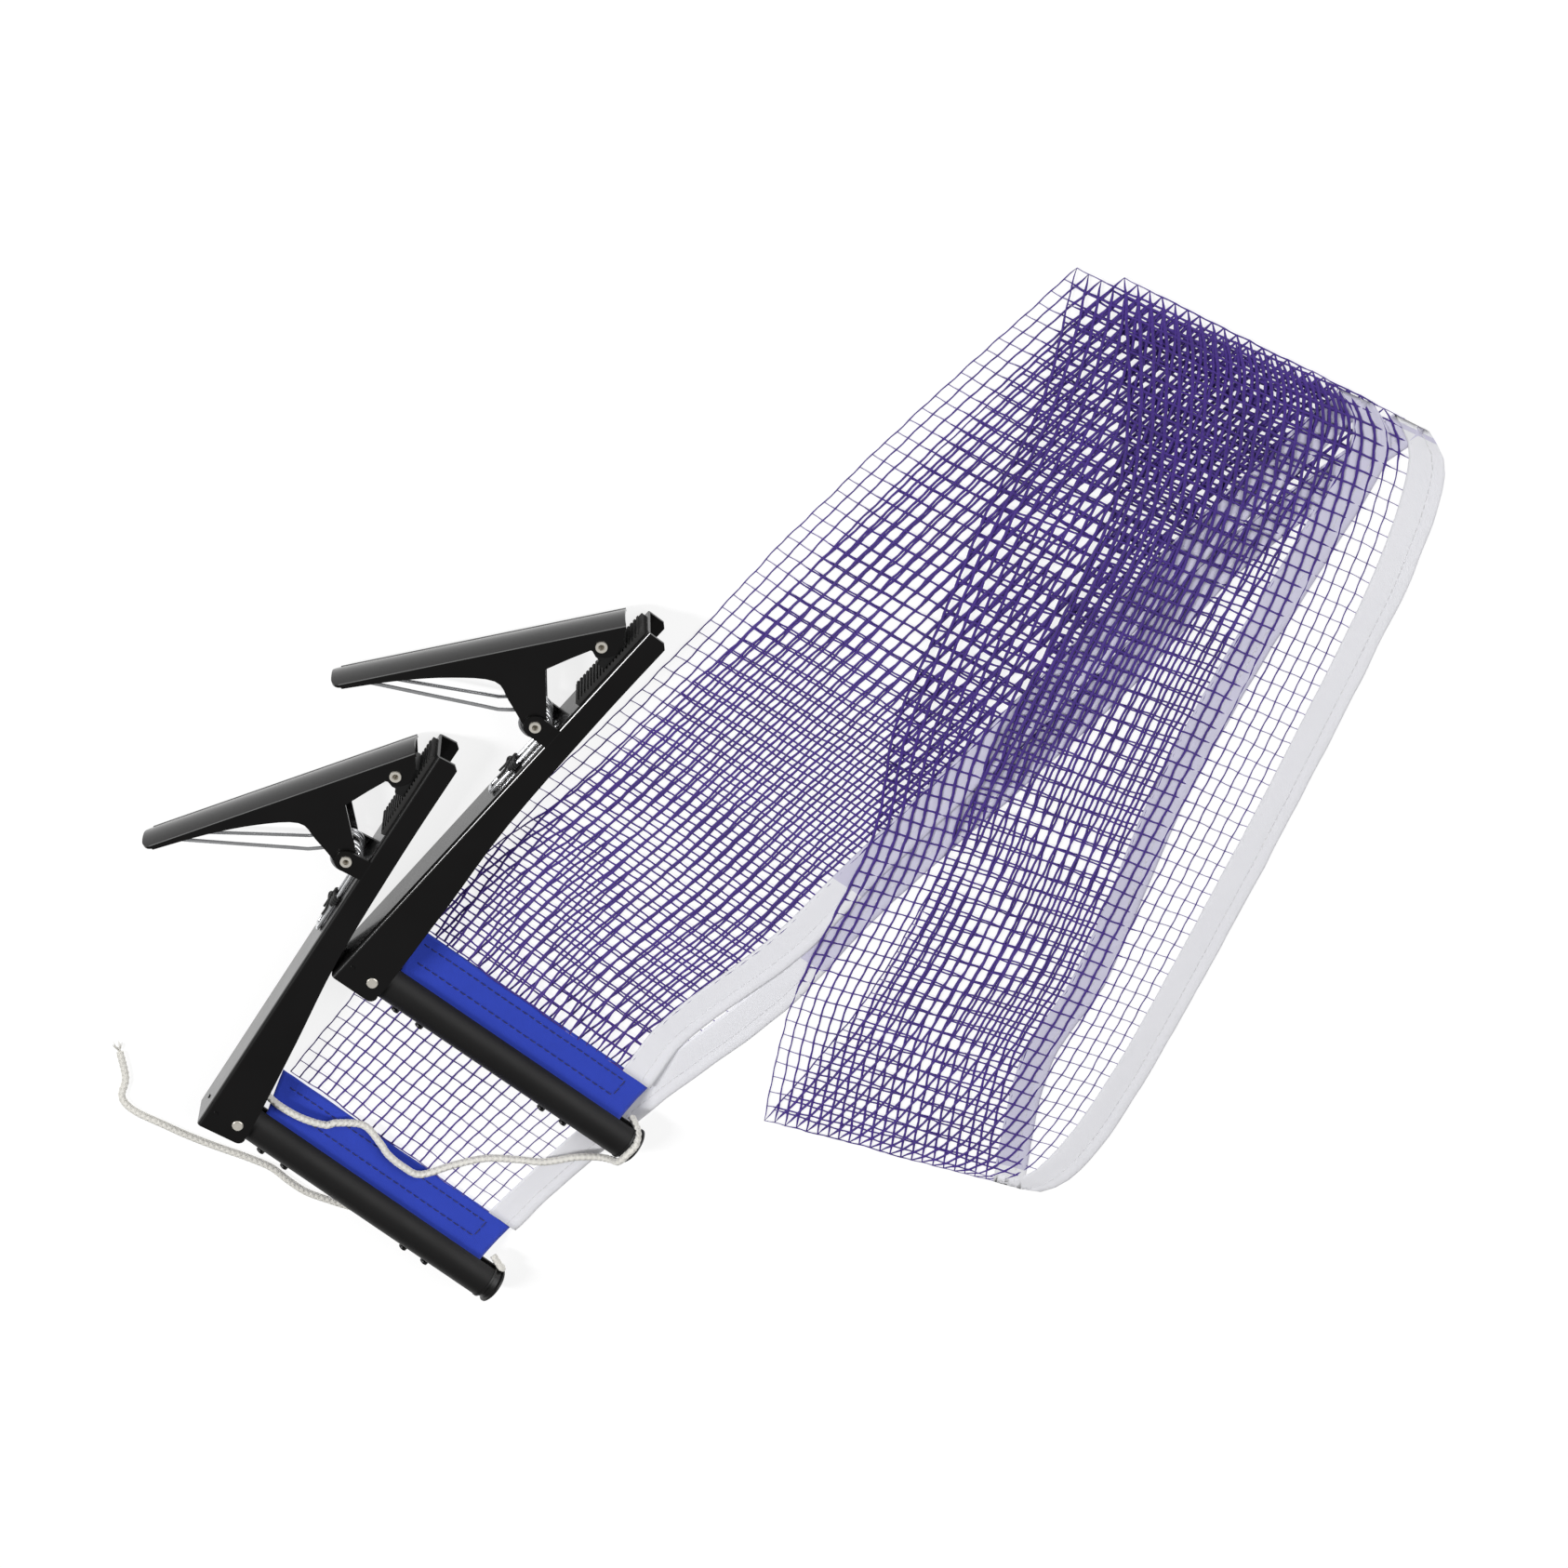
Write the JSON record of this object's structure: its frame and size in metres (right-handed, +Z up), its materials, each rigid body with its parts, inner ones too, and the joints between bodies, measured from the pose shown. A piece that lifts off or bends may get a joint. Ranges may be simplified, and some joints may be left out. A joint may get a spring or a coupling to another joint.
{
  "type": "table tennis net clamp set",
  "caption": "Clip-on table tennis net set lying packed: sprung table clamps with net posts, a folded knotted net with a white top tape, blue end bands and loose cords.",
  "frame": {"origin": "centre of the footprint of the packed set, on the surface it lies on", "axes": "+Z up from the surface, +X along the longer side of the footprint, toward the folded net"},
  "size_m": [0.5695, 0.4595, 0.0232],
  "materials": {
    "powder_black": "satin powder coat",
    "pad_rubber": "matt, ribbed",
    "black_plastic": "satin",
    "rivet_steel": "bright",
    "spring_chrome": "polished",
    "lashing_black": "braided",
    "band_blue": "woven",
    "net_indigo": "knotted mesh",
    "tape_white": "woven",
    "cord_white": "braided cotton"
  },
  "bodies": {
    "set": {"frame_a": "powder_black", "rubber_pad_a": "pad_rubber", "pivot_rivet_a": "rivet_steel", "spring_coils_a": "spring_chrome", "spring_lashing_a": "lashing_black", "post_tube_a": "powder_black", "post_rivet_a": "rivet_steel", "post_cap_a": "black_plastic", "cord_studs_a": "black_plastic", "hem_rod_a": "rivet_steel", "hem_band_a": "band_blue", "cord_a": "cord_white", "frame_b": "powder_black", "rubber_pad_b": "pad_rubber", "pivot_rivet_b": "rivet_steel", "spring_coils_b": "spring_chrome", "spring_lashing_b": "lashing_black", "post_tube_b": "powder_black", "post_rivet_b": "rivet_steel", "post_cap_b": "black_plastic", "cord_studs_b": "black_plastic", "hem_rod_b": "rivet_steel", "hem_band_b": "band_blue", "cord_b": "cord_white", "net_mesh": "net_indigo", "net_tape": "tape_white"},
    "lever_a": {"lever_a": "powder_black", "jaw_rivet_a": "rivet_steel", "spring_legs_a": "spring_chrome"},
    "jaw_a": {"jaw_foot_a": "black_plastic"},
    "lever_b": {"lever_b": "powder_black", "jaw_rivet_b": "rivet_steel", "spring_legs_b": "spring_chrome"},
    "jaw_b": {"jaw_foot_b": "black_plastic"}
  },
  "joints": [
    {"name": "lever_a_open", "type": "hinge", "parent": "set", "child": "lever_a", "pos_m": [-0.10261, 0.05832, 0.01215], "axis": [0, 0, 1], "range_deg": [0, 14], "stiffness_Nm_per_rad": 1, "springref_deg": -45.84},
    {"name": "jaw_a_swivel", "type": "hinge", "parent": "lever_a", "child": "jaw_a", "pos_m": [-0.07275, 0.09136, 0.01215], "axis": [0, 0, 1], "range_deg": [-14, 0]},
    {"name": "lever_b_open", "type": "hinge", "parent": "set", "child": "lever_b", "pos_m": [-0.18621, 0.00212, 0.01105], "axis": [0, 0, 1], "range_deg": [0, 40], "stiffness_Nm_per_rad": 1, "springref_deg": -45.84},
    {"name": "jaw_b_swivel", "type": "hinge", "parent": "lever_b", "child": "jaw_b", "pos_m": [-0.16156, 0.03921, 0.01105], "axis": [0, 0, 1], "range_deg": [-40, 0]}
  ],
  "couplings": [
    {"joint": "jaw_a_swivel", "follows": "lever_a_open", "ratio": -1},
    {"joint": "jaw_b_swivel", "follows": "lever_b_open", "ratio": -1}
  ]
}
